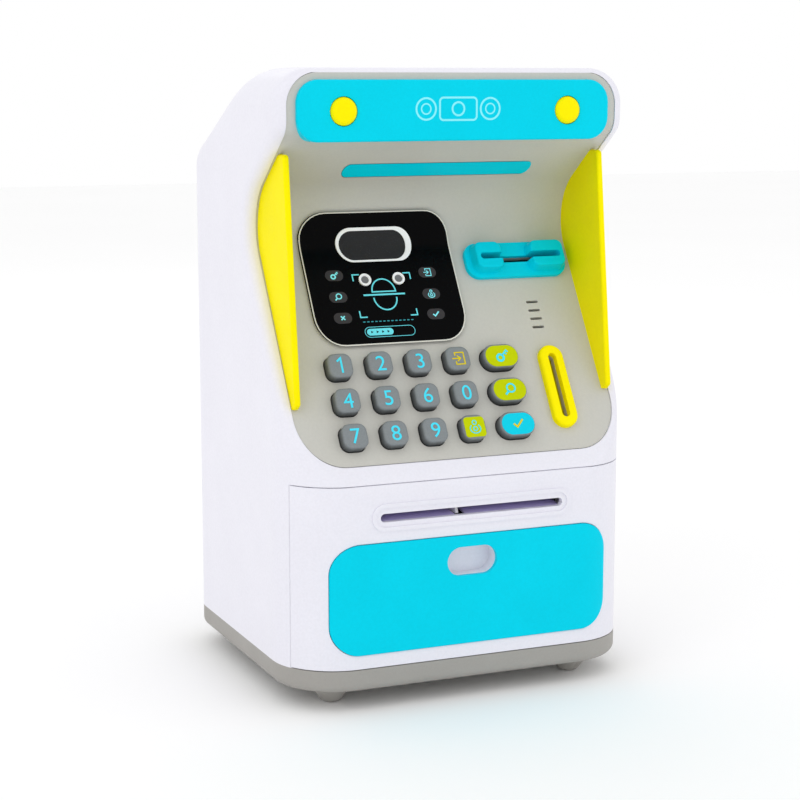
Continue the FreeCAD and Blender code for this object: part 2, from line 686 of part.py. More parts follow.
panel_window = box_outline(-64.0, 24.4, 64.0, 71.2, 12.5)
panel_recess = front_face("panel_recess", -2.0, 1.4, box_outline(-64.3, 24.1, 64.3, 71.5, 12.8))
slot_rim = front_face("slot_rim", -0.6, 0.5, pill_outline(0, dim("slot_z") + 0.2, 92.0, 11.6))
note_slot = prism("note_slot", "y", "-75", "-62", pill_outline(0, dim("slot_z"), 84.2, 3.6))
rim_dish = prism("rim_dish", "y", "-75", "-front_y - 0.01", pill_outline(0, dim("slot_z") + 0.2, 88.6, 8.2))


def hinge_arm(name, low, high):
    """Gooseneck that carries the door round the edge of the shell."""
    x, y = -dim("hinge_x"), -dim("hinge_y")
    corners = [(-1.5, 0, 0), (3.2, 0, 0), (3.2, 3.2, 0), (17.5, 3.2, 0), (17.5, -25.6, 0), (20.5, -25.6, 0),
               (20.5, 6.2, 2.0), (-1.5, 6.2, 2.0)]
    bar = prism(name + "_bar", "z", low, high, outline([(x + a, y + b, r) for a, b, r in corners]))
    boss = cylinder(name + "_boss", "pin_radius + 1.9", f"{high} - {low}", Vector(x, y, float(low)))
    return [bar, boss]


arms = hinge_arm("arm_low", "26", "30") + hinge_arm("arm_high", "86", "90")
pin_bores = cylinder("arm_bores", "pin_radius + 0.05", "80", Vector(-dim("hinge_x"), -dim("hinge_y"), 20))
finger_hole = prism("finger_hole", "y", "-75", "-62", pill_outline(-0.5, 60.1, 23.0, 12.4))
finger_cup = prism("finger_cup", "y", "-front_y + 0.2", "-front_y + 9", pill_outline(-0.5, 60.1, 26.0, 15.4))
cup_hollow = prism("finger_cup_hollow", "y", "-75", "-front_y + 7.5", pill_outline(-0.5, 60.1, 23.0, 12.4))
door_solid = joined("door_solid", [door_skin, slot_rim, finger_cup] + arms)
publish(cut("door_cut", door_solid, panel_recess, note_slot, rim_dish, pin_bores, cup_hollow), "door")

panel_body = front_face("door_panel_skin", -0.6, 1.4, panel_window)
publish(cut("door_panel_cut", panel_body, finger_hole), "door_panel")

hinge_pin = cylinder("hinge_pin_rod", "pin_radius", "deck_low - floor_top",
                     Vector(-dim("hinge_x"), -dim("hinge_y"), dim("floor_top")))
publish(hinge_pin, "hinge_pin")

# Door latch and power switch --------------------------------------------------------------

catch_arm = prism("catch_arm", "z", "68.4", "70.2", box_outline(60.5, -68.0, 69.0, -48.8))
pad(catch_arm, "z", "68.4", "74.4", box_outline(60.5, -50.3, 69.0, -48.8))
catch_root = prism("catch_root", "z", "68.4", "74.4", box_outline(60.5, -68.0, 69.0, -60.5))
root_space = prism("catch_root_space", "z", "70.2", "76", plan_outline(dim("wall") + 1.5))
door_inside = prism("door_inside", "z", "60", "80", plan_outline(dim("wall")))
catch_solid = joined("catch_solid", [catch_arm, cut("catch_plate", catch_root, root_space)])
publish(common("door_catch_trim", catch_solid, door_inside), "door_catch")

latch_case = prism("latch_case", "z", "80", "deck_low", box_outline(60, -58.5, 70, -47.5, 1.0))
pocket(latch_case, "z", "79", "92", circle(65, -53.2, 2.05))
publish(latch_case, "latch_solenoid")
bolt = prism("latch_bolt_rod", "z", "76", "86", circle(65, -53.2, 2.0))
fillet(bolt, "0.6", lambda edge, middle: middle.z < 76.01)
publish(bolt, "latch_bolt")

switch = prism("switch_knob", "y", "rear_y - wall - 0.4", "rear_y - 0.6",
               box_outline(47.0, 31.0, 52.0, 35.0, 0.6))
pad(switch, "y", "rear_y - wall - 1.8", "rear_y - wall - 0.4", box_outline(44.5, 29.0, 54.5, 37.0, 0.6))
doc.recompute()
publish(switch, "power_switch")
switch_body = prism("switch_body_case", "y", "rear_y - wall - 8", "rear_y - wall - 2.1",
                    box_outline(42, 26, 59, 40, 0.5))
pad(switch_body, "y", "rear_y - wall - 8", "rear_y - wall",
    box_outline(39, 26, 42, 40), box_outline(59, 26, 61.8, 40))
doc.recompute()
publish(switch_body, "switch_body")

# Checks and files -------------------------------------------------------------------------

doc.recompute()
for obj in doc.Objects:
    if "Invalid" in obj.State or "Error" in obj.State:
        raise RuntimeError(f"{obj.Name} did not compute: {obj.State}")
os.makedirs("parts", exist_ok=True)
for obj in parts:
    shape = obj.Shape
    if shape.isNull() or not shape.isValid() or not shape.Solids:
        raise RuntimeError(obj.Label + " has no valid solid")
    shape.exportStep(f"parts/{obj.Label}.step")
    box = shape.BoundBox
    print(f"{obj.Label:20s} {shape.Volume / 1000:8.2f} cm3  {len(shape.Solids)} solids"
          f"  x {box.XMin:.1f} {box.XMax:.1f}"
          f"  y {box.YMin:.1f} {box.YMax:.1f}"
          f"  z {box.ZMin:.1f} {box.ZMax:.1f}")
print(len(parts), "parts")
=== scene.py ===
import json
import math

import bmesh
import bpy
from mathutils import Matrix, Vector
from mathutils.bvhtree import BVHTree

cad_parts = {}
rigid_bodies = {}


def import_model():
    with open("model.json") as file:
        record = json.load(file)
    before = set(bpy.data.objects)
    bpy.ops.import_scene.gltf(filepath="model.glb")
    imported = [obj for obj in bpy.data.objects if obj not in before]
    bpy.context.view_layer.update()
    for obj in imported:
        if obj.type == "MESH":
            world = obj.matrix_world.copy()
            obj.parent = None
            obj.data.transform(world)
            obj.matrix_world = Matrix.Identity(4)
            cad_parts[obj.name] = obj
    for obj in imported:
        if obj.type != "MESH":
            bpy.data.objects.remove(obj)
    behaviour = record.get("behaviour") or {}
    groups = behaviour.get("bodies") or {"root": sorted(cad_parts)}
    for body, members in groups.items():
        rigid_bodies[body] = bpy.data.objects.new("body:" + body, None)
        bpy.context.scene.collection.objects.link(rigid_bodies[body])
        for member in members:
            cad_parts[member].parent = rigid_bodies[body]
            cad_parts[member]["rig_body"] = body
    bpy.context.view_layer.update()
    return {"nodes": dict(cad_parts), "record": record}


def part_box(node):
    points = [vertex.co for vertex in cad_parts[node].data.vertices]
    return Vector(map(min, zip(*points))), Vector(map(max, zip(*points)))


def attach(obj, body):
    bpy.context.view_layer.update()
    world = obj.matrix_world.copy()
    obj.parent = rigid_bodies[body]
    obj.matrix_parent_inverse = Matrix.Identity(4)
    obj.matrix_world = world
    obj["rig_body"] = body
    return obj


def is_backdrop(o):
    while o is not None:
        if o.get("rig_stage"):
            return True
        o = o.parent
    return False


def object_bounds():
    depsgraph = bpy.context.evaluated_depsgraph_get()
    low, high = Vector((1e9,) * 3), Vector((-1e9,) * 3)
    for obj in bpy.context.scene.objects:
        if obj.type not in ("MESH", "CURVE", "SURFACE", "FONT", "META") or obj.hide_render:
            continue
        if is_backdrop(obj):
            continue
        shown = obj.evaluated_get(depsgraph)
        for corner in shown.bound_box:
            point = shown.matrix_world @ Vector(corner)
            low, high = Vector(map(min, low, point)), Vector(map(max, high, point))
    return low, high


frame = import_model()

# Toy cash machine savings bank.  Metres; X to the right, Y to the back, Z up.

MM = 0.001
nodes = frame["nodes"]
slot_of = {row["node"]: row["material_slot"] for row in frame["record"]["subparts"]}

# The sloping desk: its tilt, its two directions and the middle of its lower edge.
SLOPE = math.radians(58.57)
UP_DESK = Vector((0, math.cos(SLOPE), math.sin(SLOPE)))
OUT_DESK = Vector((0, -math.sin(SLOPE), math.cos(SLOPE)))
DESK_FOOT = Vector((0, -64.8, 103.1)) * MM

# Materials --------------------------------------------------------------------------------


def linear(red, green, blue):
    """A colour given as 0-255 display values, in the linear values that shaders use."""
    values = [v / 255 for v in (red, green, blue)]
    return [v / 12.92 if v <= 0.04045 else ((v + 0.055) / 1.055) ** 2.4 for v in values] + [1.0]


def tinted(colour, gain):
    return [min(1.0, v * gain) for v in colour[:3]] + [1.0]


class Shader:
    """A node material under construction, with object coordinates in metres."""

    def __init__(self, name, rough=0.4, **sockets):
        self.material = bpy.data.materials.new(name)
        self.material.use_nodes = True
        self.tree = self.material.node_tree
        self.bsdf = self.tree.nodes["Principled BSDF"]
        self.place = self.tree.nodes.new("ShaderNodeTexCoord").outputs["Object"]
        self.bsdf.inputs["Roughness"].default_value = rough
        for socket, value in sockets.items():
            self.bsdf.inputs[socket.replace("_", " ")].default_value = value

    def node(self, kind, **settings):
        made = self.tree.nodes.new("ShaderNode" + kind)
        for name, value in settings.items():
            setattr(made, name, value)
        return made

    def link(self, source, target):
        self.tree.links.new(source, target)

    def noise(self, size, detail=3.0, stretch=None):
        """Noise whose spots are about the given size in metres."""
        made = self.node("TexNoise")
        made.inputs["Scale"].default_value = 1.0 / size
        made.inputs["Detail"].default_value = detail
        source = self.place
        if stretch:
            mapping = self.node("Mapping")
            mapping.inputs["Scale"].default_value = stretch
            self.link(self.place, mapping.inputs["Vector"])
            source = mapping.outputs["Vector"]
        self.link(source, made.inputs["Vector"])
        return made.outputs["Fac"]

    def ramp(self, factor, stops):
        made = self.node("ValToRGB")
        elements = made.color_ramp.elements
        for i, (position, colour) in enumerate(stops):
            element = elements[i] if i < 2 else elements.new(position)
            element.position = position
            element.color = colour
        self.link(factor, made.inputs["Fac"])
        return made.outputs["Color"]

    def spread(self, factor, low, high):
        made = self.node("MapRange")
        made.inputs["From Min"].default_value = 0.3
        made.inputs["From Max"].default_value = 0.7
        made.inputs["To Min"].default_value = low
        made.inputs["To Max"].default_value = high
        self.link(factor, made.inputs["Value"])
        return made.outputs["Result"]

    def multiply(self, first, second):
        made = self.node("Mix", data_type="RGBA", blend_type="MULTIPLY")
        made.inputs["Factor"].default_value = 1.0
        self.link(first, made.inputs["A"])
        self.link(second, made.inputs["B"])
        return made.outputs["Result"]

    def finish(self, colour, roughness=None, height=None, depth=0.0):
        """Connect a colour, a roughness and a bump of the given depth in metres."""
        self.link(colour, self.bsdf.inputs["Base Color"])
        if roughness is not None:
            self.link(roughness, self.bsdf.inputs["Roughness"])
        if height is not None:
            bump = self.node("Bump")
            bump.inputs["Distance"].default_value = depth
            self.link(height, bump.inputs["Height"])
            self.link(bump.outputs["Normal"], self.bsdf.inputs["Normal"])
        return self.material


WHITE = [1, 1, 1, 1]


def grey(value):
    return [value, value, value, 1]


def moulded(name, colour, rough, grain, depth, mottle=0.03, **sockets):
    """Moulded plastic: faint flow mottling, a tool-texture grain and a slightly uneven gloss."""
    shader = Shader(name, rough, **sockets)
    tone = shader.ramp(shader.noise(0.028, 4.0), [(0.30, tinted(colour, 1 - mottle)), (0.55, colour),
                                                  (0.75, tinted(colour, 1 + mottle))])
    speck = shader.ramp(shader.noise(0.0011, 2.0), [(0.35, grey(0.97)), (0.65, WHITE)])
    gloss = shader.spread(shader.noise(0.006, 5.0), rough - 0.05, rough + 0.05)
    return shader.finish(shader.multiply(tone, speck), gloss, shader.noise(grain, 2.0), depth)


KEY_TOP = 4.4 * MM


def key_rubber():
    """Soft grey key: matt, with fine speckle, and with painted shade that darkens its sides towards the foot.
    """
    shader = Shader("key_rubber", 0.6, Specular_IOR_Level=0.3)
    # Painted shade: the colour darkens with height above the desk, from the key's top down to its foot.
    height = shader.node("VectorMath", operation="DOT_PRODUCT")
    shader.link(shader.place, height.inputs[0])
    height.inputs[1].default_value = OUT_DESK
    level = shader.node("MapRange")
    foot = DESK_FOOT.dot(OUT_DESK)
    level.inputs["From Min"].default_value = foot
    level.inputs["From Max"].default_value = foot + KEY_TOP
    shader.link(height.outputs["Value"], level.inputs["Value"])
    shade = shader.ramp(level.outputs["Result"], [(0.0, linear(52, 54, 56)), (0.72, linear(104, 109, 112)),
                                                  (0.97, linear(132, 138, 141))])
    speck = shader.ramp(shader.noise(0.0006, 2.0), [(0.35, grey(0.92)), (0.65, WHITE)])
    gloss = shader.spread(shader.noise(0.004, 4.0), 0.52, 0.68)
    return shader.finish(shader.multiply(shade, speck), gloss, shader.noise(0.0004, 2.0), 0.00003)


def plated_steel():
    """Bright zinc plate with fine drawn lines."""
    colour = [0.62, 0.62, 0.60, 1]
    shader = Shader("plated_steel", 0.3, Metallic=1.0)
    lines = shader.noise(0.0006, 3.0, stretch=(1, 1, 12))
    shade = shader.ramp(lines, [(0.3, tinted(colour, 0.8)), (0.7, tinted(colour, 1.1))])
    return shader.finish(shade, shader.spread(lines, 0.22, 0.42), lines, 0.00002)


def circuit_board():
    """Green solder mask with copper tracks under it and tinned pads."""
    shader = Shader("circuit_board", 0.35, Coat_Weight=0.3)
    cells = shader.node("TexVoronoi", feature="DISTANCE_TO_EDGE", distance="MANHATTAN")
    cells.inputs["Scale"].default_value = 260.0
    shader.link(shader.place, cells.inputs["Vector"])
    tracks = shader.ramp(cells.outputs["Distance"],
                         [(0.06, [0.02, 0.30, 0.10, 1]), (0.10, [0.004, 0.10, 0.035, 1])])
    dots = shader.node("TexVoronoi", feature="F1")
    dots.inputs["Scale"].default_value = 320.0
    shader.link(shader.place, dots.inputs["Vector"])
    pads = shader.ramp(dots.outputs["Distance"], [(0.16, WHITE), (0.20, grey(0))])
    mix = shader.node("Mix", data_type="RGBA")
    shader.link(pads, mix.inputs["Factor"])
    shader.link(tracks, mix.inputs["A"])
    mix.inputs["B"].default_value = [0.55, 0.55, 0.50, 1]
    return shader.finish(mix.outputs["Result"], height=cells.outputs["Distance"], depth=0.00003)


def lens(name, colour, rough):
    """Gloss acrylic over a printed back, with faint dust and fine polish marks."""
    shader = Shader(name, rough, Specular_IOR_Level=0.04)
    dust = shader.ramp(shader.noise(0.0004, 2.0), [(0.62, colour), (0.80, tinted(colour, 2.2))])
    haze = shader.spread(shader.noise(0.02, 4.0), rough * 0.7, rough * 1.5)
    return shader.finish(dust, haze, shader.noise(0.012, 1.0), 0.00004)


SATIN = {"Specular_IOR_Level": 0.05}
# The finish of each of the record's material slots.
LIBRARY = {
    "white_shell": moulded("white_shell", linear(234, 233, 242), 0.36, 0.0007, 0.000012, mottle=0.012,
                           Specular_IOR_Level=0.35),
    "grey_base": moulded("grey_base", linear(160, 157, 152), 0.52, 0.0006, 0.00003),
    "grey_fascia": moulded("grey_fascia", linear(198, 197, 190), 0.45, 0.0006, 0.00002, mottle=0.02,
                           Specular_IOR_Level=0.3),
    "turquoise_plastic": moulded("turquoise_plastic", linear(0, 212, 236), 0.36, 0.0007, 0.000015, **SATIN),
    "yellow_plastic": moulded("yellow_plastic", linear(255, 240, 0), 0.42, 0.0007, 0.000015, **SATIN),
    "black_lens": lens("black_lens", [0.0012, 0.0012, 0.0015, 1], 0.22),
    "dark_window": lens("dark_window", [0.03, 0.03, 0.032, 1], 0.3),
    "white_ink": moulded("white_ink", linear(250, 250, 252), 0.3, 0.0004, 0.00001, mottle=0.01),
    "key_rubber": key_rubber(),
    "roller_rubber": moulded("roller_rubber", linear(52, 52, 54), 0.75, 0.0005, 0.00006, mottle=0.1),
    "inner_plastic": moulded("inner_plastic", linear(226, 226, 230), 0.5, 0.0007, 0.00002),
    "black_plastic": moulded("black_plastic", linear(40, 40, 43), 0.5, 0.0005, 0.00004, mottle=0.1),
    "circuit_board": circuit_board(),
    "plated_steel": plated_steel(),
}
# Finishes of prints, inlays and the note guide; the screen rim's ink is a painted highlight and the guide's
# darker lilac is partly painted shade.
INKS = {
    name: moulded(name, linear(*colour), 0.42, 0.0004, 0.00001, **SATIN)
    for name, colour in {
        "cyan_ink": (78, 226, 250), "pale_ink": (140, 242, 252), "yellow_ink": (226, 206, 20),
        "lime_ink": (195, 208, 2), "turquoise_ink": (16, 208, 232), "smoke_ink": (62, 60, 62),
        "screen_ink": (112, 228, 240), "dim_cyan_ink": (62, 158, 170), "dark_ink": (14, 18, 22),
        "sensor_grey": (118, 118, 121), "rim_highlight_ink": (226, 224, 216), "guide_lilac_and_painted_shade": (192, 182, 222)}.items()
}


def paint(obj, material):
    obj.data.materials.clear()
    obj.data.materials.append(material)


for name, obj in nodes.items():
    paint(obj, LIBRARY[slot_of[name]])

# Flat drawings: lists of polygons in millimetres -------------------------------------------


def arc(x, y, radius, start, end, steps=24, squeeze=1.0):
    """Points on an arc, angles in degrees."""
    angles = [math.radians(start + (end - start) * i / steps) for i in range(steps + 1)]
    return [(x + radius * math.cos(a), y + radius * squeeze * math.sin(a)) for a in angles]


def ribbon(points, width, closed=False):
    """A stroke of even width along the points, as quads with mitred joints."""
    count = len(points)
    sides = []
    for i, (x, y) in enumerate(points):
        before = points[i - 1] if (closed or i > 0) else None
        after = points[(i + 1) % count] if (closed or i < count - 1) else None
        normals = []
        for (ax, ay), (bx, by) in ((before or (x, y), (x, y)), ((x, y), after or (x, y))):
            length = math.hypot(bx - ax, by - ay)
            if length > 1e-9:
                normals.append(((ay - by) / length, (bx - ax) / length))
        nx = sum(n[0] for n in normals) / len(normals)
        ny = sum(n[1] for n in normals) / len(normals)
        size = max(nx * nx + ny * ny, 0.2)
        nx, ny = nx / size * width / 2, ny / size * width / 2
        sides.append(((x + nx, y + ny), (x - nx, y - ny)))
    last = count if closed else count - 1
    quads = []
    for i in range(last):
        (a, b), (c, d) = sides[i], sides[(i + 1) % count]
        quads.append([a, b, d, c])
    return quads


def ring(x, y, radius, width, squeeze=1.0):
    return ribbon(arc(x, y, radius, 0, 360, 36, squeeze)[:-1], width, closed=True)


def rounded(x0, y0, x1, y1, radius):
    """Outline points of a rounded rectangle."""
    left, right, low, high = x0 + radius, x1 - radius, y0 + radius, y1 - radius
    return (arc(right, low, radius, -90, 0, 8) + arc(right, high, radius, 0, 90, 8)
            + arc(left, high, radius, 90, 180, 8) + arc(left, low, radius, 180, 270, 8))


def moved(drawing, dx, dy, scale=1.0):
    return [[(dx + x * scale, dy + y * scale) for x, y in polygon] for polygon in drawing]


def digit(text, height):
    """The polygons of a printed digit, centred on zero."""
    curve = bpy.data.curves.new("digit", "FONT")
    curve.body = text
    holder = bpy.data.objects.new("digit", curve)
    bpy.context.scene.collection.objects.link(holder)
    bpy.context.view_layer.update()
    mesh = bpy.data.meshes.new_from_object(holder.evaluated_get(bpy.context.evaluated_depsgraph_get()))
    xs = [v.co.x for v in mesh.vertices]
    ys = [v.co.y for v in mesh.vertices]
    scale = height / (max(ys) - min(ys))
    middle = ((max(xs) + min(xs)) / 2, (max(ys) + min(ys)) / 2)
    drawing = [[((mesh.vertices[i].co.x - middle[0]) * scale, (mesh.vertices[i].co.y - middle[1]) * scale)
                for i in polygon.vertices] for polygon in mesh.polygons]
    bpy.data.objects.remove(holder)
    bpy.data.curves.remove(curve)
    bpy.data.meshes.remove(mesh)
    return drawing


def door_icon(w=0.5):
    frame_line = [(-1.5, 1.3), (-1.5, 2.7), (2.5, 2.7), (2.5, -2.7), (-1.5, -2.7), (-1.5, -1.3)]
    return (ribbon(frame_line, w) + ribbon([(-3.0, 0), (0.3, 0)], w)
            + ribbon([(-0.7, 1.3), (0.8, 0), (-0.7, -1.3)], w))


def key_icon(w=0.7):
    teeth = [[(1.4, 1.4 - w / 2), (2.3, 0.6)], [(2.4, 2.4 - w / 2), (3.2, 1.7)]]
    return (ring(-0.9, -0.9, 1.5, w + 0.3) + ribbon([(0.3, 0.3), (2.6, 2.6)], w)
            + ribbon(teeth[0], w * 0.8) + ribbon(teeth[1], w * 0.8))


def search_icon(w=0.7):
    return ring(0.5, 0.6, 1.9, w) + ribbon([(-0.9, -0.8), (-2.4, -2.3)], w * 1.3)


def money_icon(w=0.4):
    bag = arc(0, -0.9, 2.4, 130, 410, 30, 0.85)
    return ribbon(bag, w) + ring(0, 1.9, 0.9, w) + ring(0, -0.9, 0.9, w)


def tick_icon(w=0.8):
    return ribbon([(-2.2, 0.0), (-0.7, -1.5), (2.3, 1.7)], w)


def cross_icon(w=0.7, reach=2.0):
    """Two equal diagonal strokes as one outline."""
    corners = [(w / 2, w / 2), (reach, w / 2), (reach, -w / 2)]
    turned = []
    for quarter in range(4):
        a = math.radians(45 - 90 * quarter)
        turned += [(x * math.cos(a) - y * math.sin(a), x * math.sin(a) + y * math.cos(a)) for x, y in corners]
    return [turned]


# Printed and inlaid pieces ------------------------------------------------------------------


def add_piece(name, bm, material, body_of):
    """Turn a bmesh into a piece that rides on the body of the named node."""
    mesh = bpy.data.meshes.new(name)
    bm.to_mesh(mesh)
    bm.free()
    obj = bpy.data.objects.new(name, mesh)
    bpy.context.scene.collection.objects.link(obj)
    obj.data.materials.append(material)
    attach(obj, nodes[body_of]["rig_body"])
    return obj


def on_desk(x, u):
    """The point x across and u up the sloping desk, both in millimetres."""
    return DESK_FOOT + Vector((x * MM, 0, 0)) + UP_DESK * (u * MM)


def on_front(x, z):
    return Vector((x * MM, 0, z * MM))


trees = {}


def surface(node):
    if node not in trees:
        mesh = nodes[node].data
        trees[node] = BVHTree.FromPolygons([v.co for v in mesh.vertices], [p.vertices for p in mesh.polygons])
    return trees[node]


def raised(name, drawing, node, place, out, material, thickness=0.14, sink=0.06, flat=False):
    """Lay a drawing on a CAD node's face as a thin raised print that moves with that node.

    A flat print lies in one plane, at the highest point it touches; others follow the face.
    """
    polygons = []
    for polygon in drawing:
        hits = [surface(node).ray_cast(place(x, y) + out * 0.2, -out)[0] for x, y in polygon]
        if None in hits:
            raise RuntimeError(f"{name}: the drawing leaves {node}")
        polygons.append(hits)
    highest = max(hit.dot(out) for hits in polygons for hit in hits)
    bm = bmesh.new()
    for hits in polygons:
        levelled = [hit + out * (highest - hit.dot(out)) if flat else hit for hit in hits]
        bm.faces.new([bm.verts.new(point - out * (sink * MM)) for point in levelled])
    bmesh.ops.remove_doubles(bm, verts=bm.verts, dist=0.000004)
    bmesh.ops.triangulate(bm, faces=bm.faces)
    for face in bm.faces:
        face.normal_update()
        if face.normal.dot(out) < 0:
            face.normal_flip()
    top = bmesh.ops.extrude_face_region(bm, geom=list(bm.faces))["geom"]
    verts = [g for g in top if isinstance(g, bmesh.types.BMVert)]
    bmesh.ops.translate(bm, verts=verts, vec=out * ((thickness + sink) * MM))
    bmesh.ops.recalc_face_normals(bm, faces=bm.faces)
    return add_piece(name, bm, material, node)


def desk_centre(node):
    """The middle of a node as x across and u up the sloping desk, both in millimetres."""
    low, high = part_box(node)
    middle = (low + high) / 2
    return middle.x / MM, (middle - DESK_FOOT).dot(UP_DESK) / MM


def print_key(name, drawing, node, material, thickness=0.14, sink=0.06):
    """A flat print on the top of a key."""
    placed = moved(drawing, *desk_centre(node))
    return raised(name, placed, node, on_desk, OUT_DESK, material, thickness, sink, flat=True)


DIGIT_HEIGHT = 6.6
ONE = ribbon([(-1.5, 1.9), (0.3, DIGIT_HEIGHT / 2), (0.3, -DIGIT_HEIGHT / 2)], 0.85)
for number in range(10):
    drawing = ONE if number == 1 else digit(str(number), DIGIT_HEIGHT)
    print_key(f"digit_{number}", drawing, f"key_{number}", INKS["cyan_ink"])
print_key("icon_exit", door_icon(), "key_exit", INKS["yellow_ink"])

# Coloured inlays with an icon each, let into the tops of four keys.
PILL = [rounded(-7.6, -4.8, 7.6, 4.8, 4.75)]
SQUARE = [rounded(-4.7, -4.5, 4.7, 4.5, 1.6)]
INLAY_THICKNESS, INLAY_SINK = 0.16, 0.5
for node, shape, ink, icon, icon_ink in (
        ("key_unlock", PILL, "lime_ink", key_icon(), "cyan_ink"),
        ("key_search", PILL, "lime_ink", search_icon(), "cyan_ink"),
        ("key_confirm", PILL, "turquoise_ink", tick_icon(), "yellow_ink"),
        ("key_money", SQUARE, "lime_ink", money_icon(), "cyan_ink")):
    print_key(node + "_inlay", shape, node, INKS[ink], INLAY_THICKNESS, INLAY_SINK)
    print_key(node + "_icon", icon, node, INKS[icon_ink], thickness=0.3)


def print_screen(name, drawing, ink, thickness=0.12):
    return raised(name, drawing, "face_panel", on_desk, OUT_DESK, INKS[ink], thickness)


# The screen: six buttons with icons, a pale rim line that is a painted edge highlight, a scan frame with a
# face outline, a bar.
ICON_SCALE = 0.62
buttons = [(-43.1, 86.7, key_icon(0.8)), (-43.3, 76.5, search_icon(0.8)), (-43.2, 66.7, cross_icon(0.9)),
           (0.3, 86.5, door_icon(0.6)), (-0.1, 76.2, money_icon(0.6)), (-0.1, 66.5, tick_icon(1.0))]
pads = [rounded(x - 4.1, u - 2.5, x + 4.1, u + 2.5, 2.45) for x, u, _ in buttons]
print_screen("screen_buttons", pads, "smoke_ink")
icons = []
for x, u, icon in buttons:
    icons += moved(icon, x, u, ICON_SCALE)
print_screen("screen_icons", icons, "pale_ink", 0.2)


def dense(points, step):
    """The closed outline with points added so that none lie further apart than the step."""
    result = []
    for (ax, ay), (bx, by) in zip(points, points[1:] + points[:1]):
        count = max(1, math.ceil(math.hypot(bx - ax, by - ay) / step))
        result += [(ax + (bx - ax) * i / count, ay + (by - ay) * i / count) for i in range(count)]
    return result


FORWARD = Vector((0, -1, 0))
# A painted highlight: a pale line round the screen stands in for the light caught by the edge of its recess.
SCREEN_CORNER, RIM_INSET = 12.0, 0.28
low, high = (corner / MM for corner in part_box("face_panel"))
rim = rounded(low.x + RIM_INSET, low.z + RIM_INSET, high.x - RIM_INSET, high.z - RIM_INSET,
              SCREEN_CORNER - RIM_INSET)
raised("screen_rim_highlight", ribbon(dense(rim, 2.0), 0.5, closed=True), "face_panel", on_front, FORWARD,
       INKS["rim_highlight_ink"], 0.1)

brackets = []
for x, u, side, up in ((-34.9, 86.7, 1, -1), (-8.2, 86.7, -1, -1), (-35.1, 66.6, 1, 1), (-8.7, 66.6, -1, 1)):
    brackets += ribbon([(x + side * 3.2, u), (x, u), (x, u + up * 3.0)], 0.55)
head = arc(-21.9, 78.3, 5.4, 0, 180, 20, 1.1)
chin = arc(-21.9, 75.5, 5.3, 180, 360, 20, 1.1)
beam = [(-31.6, 76.9), (-12.4, 76.9)]
scan = brackets + ribbon(head, 0.6, closed=True) + ribbon(chin, 0.6) + ribbon(beam, 0.75)
print_screen("screen_scan", scan, "screen_ink")
bar = ribbon(rounded(-34.6, 57.2, -11.6, 61.9, 2.3), 0.22, closed=True)
bar += [rounded(-33.7, 58.0, -21.6, 61.1, 1.5)]
print_screen("screen_bar", bar, "screen_ink")
marks = [arc(-31.5 + 2.5 * i, 59.55, 0.66, 0, 360, 3)[:-1] for i in range(4)]
print_screen("screen_bar_marks", marks, "dark_ink", 0.2)
dashes = [rounded(x, 64.2, x + 1.1, 64.65, 0.2) for x in [-34.5 + 1.85 * i for i in range(13)]]
print_screen("screen_dashes", dashes, "dim_cyan_ink")

for sensor in ("sensor_left", "sensor_right"):
    eye = [arc(*desk_centre(sensor), 1.7, 0, 360, 28)[:-1]]
    raised(sensor + "_eye", eye, sensor, on_desk, OUT_DESK, INKS["sensor_grey"], 0.12)

# The sign: a note between two coins.
sign = ribbon(rounded(-8.4, 243.6, 8.4, 252.8, 1.6), 0.8, closed=True) + ring(0, 248.2, 2.7, 0.8)
for x in (-14.6, 14.6):
    sign += ring(x, 248.2, 4.4, 0.8) + ring(x, 248.2, 2.1, 0.6)
raised("sign_print", sign, "sign_board", on_front, FORWARD, INKS["pale_ink"], 0.12)

# Pieces on the door's inside ------------------------------------------------------------------


def solid(name, sections, slot, body_of, finish=None):
    """Join sections, each with the same number of corners, into one closed piece."""
    bm = bmesh.new()
    rows = [[bm.verts.new(Vector(corner) * MM) for corner in section] for section in sections]
    for near, far in zip(rows, rows[1:]):
        for i in range(len(near)):
            j = (i + 1) % len(near)
            bm.faces.new((near[i], near[j], far[j], far[i]))
    bm.faces.new(rows[0][::-1])
    bm.faces.new(rows[-1])
    bmesh.ops.recalc_face_normals(bm, faces=bm.faces)
    return add_piece(name, bm, finish or LIBRARY[slot], body_of)


# A lilac funnel behind the note slot, split where the note feed's fin stands; its darker lilac is partly the
# plastic's own tint and partly painted shade.  Sections in (y, z).
GUIDE_LOW = [(-66.45, 79.2), (-66.45, 79.9), (-57.6, 81.3), (-56.9, 81.1), (-57.2, 80.6)]
GUIDE_HIGH = [(-66.45, 84.2), (-57.2, 82.9), (-56.9, 82.4), (-57.6, 82.2), (-66.45, 83.5)]
for side, x0, x1 in (("left", -42.0, -7.1), ("right", -2.4, 42.0)):
    for level, section in (("low", GUIDE_LOW), ("high", GUIDE_HIGH)):
        ends = [[(x, y, z) for y, z in section] for x in (x0, x1)]
        solid(f"note_guide_{side}_{level}", ends, "inner_plastic", "door", INKS["guide_lilac_and_painted_shade"])

# Steps along the door's edges that close most of the gap a little way in.  The door's front corner
# is round about CORNER, and its side seam runs from SEAM, slanting inwards.
CORNER = Vector((-52.0, -41.4))
CORNER_RADIUS = 28.0
SEAM = Vector((-76.25, -54.9))
ALONG_SEAM = Vector((1.0, -0.46))
PAST_SEAM = Vector((0.418, 0.909)) * 0.25
DOOR_BOTTOM, DOOR_TOP = 18.4, 95.6
STEP_LOW, STEP_HIGH = DOOR_TOP - 0.05, DOOR_TOP + 0.28


def seam_point(depth):
    """Where the side seam, seen from above, lies the given depth under the door's face."""
    reach = SEAM - CORNER
    a, b = ALONG_SEAM.length_squared, reach.dot(ALONG_SEAM)
    c = reach.length_squared - (CORNER_RADIUS - depth) ** 2
    return SEAM + ALONG_SEAM * ((-b - math.sqrt(b * b - a * c)) / a)


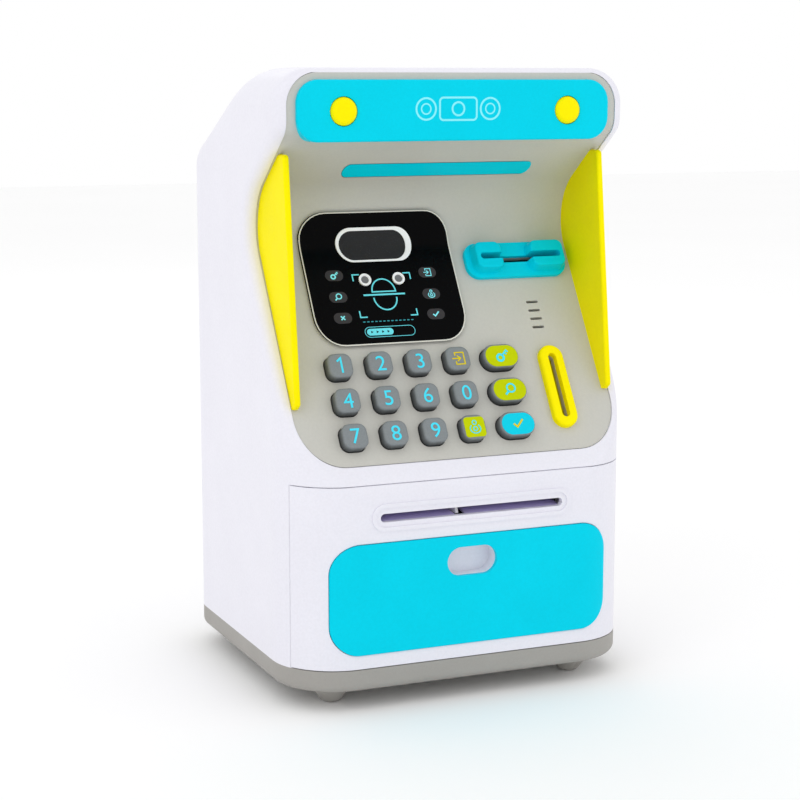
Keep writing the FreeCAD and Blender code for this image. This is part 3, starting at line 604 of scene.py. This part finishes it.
def door_line(depth, steps=14):
    """The door's plan line at a depth, from the left seam to the right seam."""
    start = seam_point(depth) - CORNER
    first = math.degrees(math.atan2(start.y, start.x)) % 360
    left = arc(CORNER.x, CORNER.y, CORNER_RADIUS - depth, first, 270, steps)
    return left + [(-x, y) for x, y in reversed(left)]


for side, flip in (("left", 1), ("right", -1)):
    near, far = seam_point(0.8), seam_point(2.8)
    plan = [near, far, far + PAST_SEAM, near + PAST_SEAM]
    ends = [[(point.x * flip, point.y, z) for point in plan] for z in (DOOR_BOTTOM, DOOR_TOP)]
    solid(f"door_step_{side}", ends, "white_shell", "door")
sections = [[(*front, STEP_LOW), (*front, STEP_HIGH), (*back, STEP_HIGH), (*back, STEP_LOW)]
            for front, back in zip(door_line(1.4), door_line(2.8))]
solid("door_step_top", sections, "white_shell", "door")

# Stage, light and camera --------------------------------------------------------------------


def stage():
    bm = bmesh.new()
    bmesh.ops.create_grid(bm, x_segments=12, y_segments=12, size=4.0)
    mesh = bpy.data.meshes.new("floor")
    bm.to_mesh(mesh)
    bm.free()
    floor = bpy.data.objects.new("floor", mesh)
    bpy.context.scene.collection.objects.link(floor)
    shader = Shader("floor_paper", 0.9)
    pale = linear(252, 252, 252)
    tone = shader.ramp(shader.noise(0.4, 2.0), [(0.3, tinted(pale, 0.99)), (0.7, pale)])
    floor.data.materials.append(shader.finish(tone))
    floor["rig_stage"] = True


def area(name, at, target, size, power):
    lamp = bpy.data.lights.new(name, "AREA")
    lamp.shape = "DISK"
    lamp.size = size
    lamp.energy = power
    obj = bpy.data.objects.new(name, lamp)
    obj.location = at
    obj.rotation_euler = (Vector(target) - Vector(at)).to_track_quat("-Z", "Y").to_euler()
    bpy.context.scene.collection.objects.link(obj)


stage()
area("key_light", (-1.2, -0.85, 1.4), (0, 0, 0.12), 1.1, 2.6)
area("fill_light", (1.3, -0.9, 0.8), (0, 0, 0.12), 1.2, 0.6)
area("rim_light", (0.2, 1.4, 1.2), (0, 0, 0.15), 1.0, 1.2)
world = bpy.data.worlds.new("studio")
world.use_nodes = True
world.node_tree.nodes["Background"].inputs["Color"].default_value = (1, 1, 1, 1)
world.node_tree.nodes["Background"].inputs["Strength"].default_value = 1.0
bpy.context.scene.world = world
bpy.context.scene.view_settings.view_transform = "Standard"

EYE = Vector((-0.34260, -0.78996, 0.25972))
LOOK_AT = Vector((-0.00375, 0, 0.11824))
lens_data = bpy.data.cameras.new("camera")
lens_data.lens = 87.34
lens_data.sensor_width = 36.0
camera = bpy.data.objects.new("camera", lens_data)
camera.location = EYE
camera.rotation_euler = (LOOK_AT - EYE).to_track_quat("-Z", "Y").to_euler()
bpy.context.scene.collection.objects.link(camera)
bpy.context.scene.camera = camera

low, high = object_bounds()
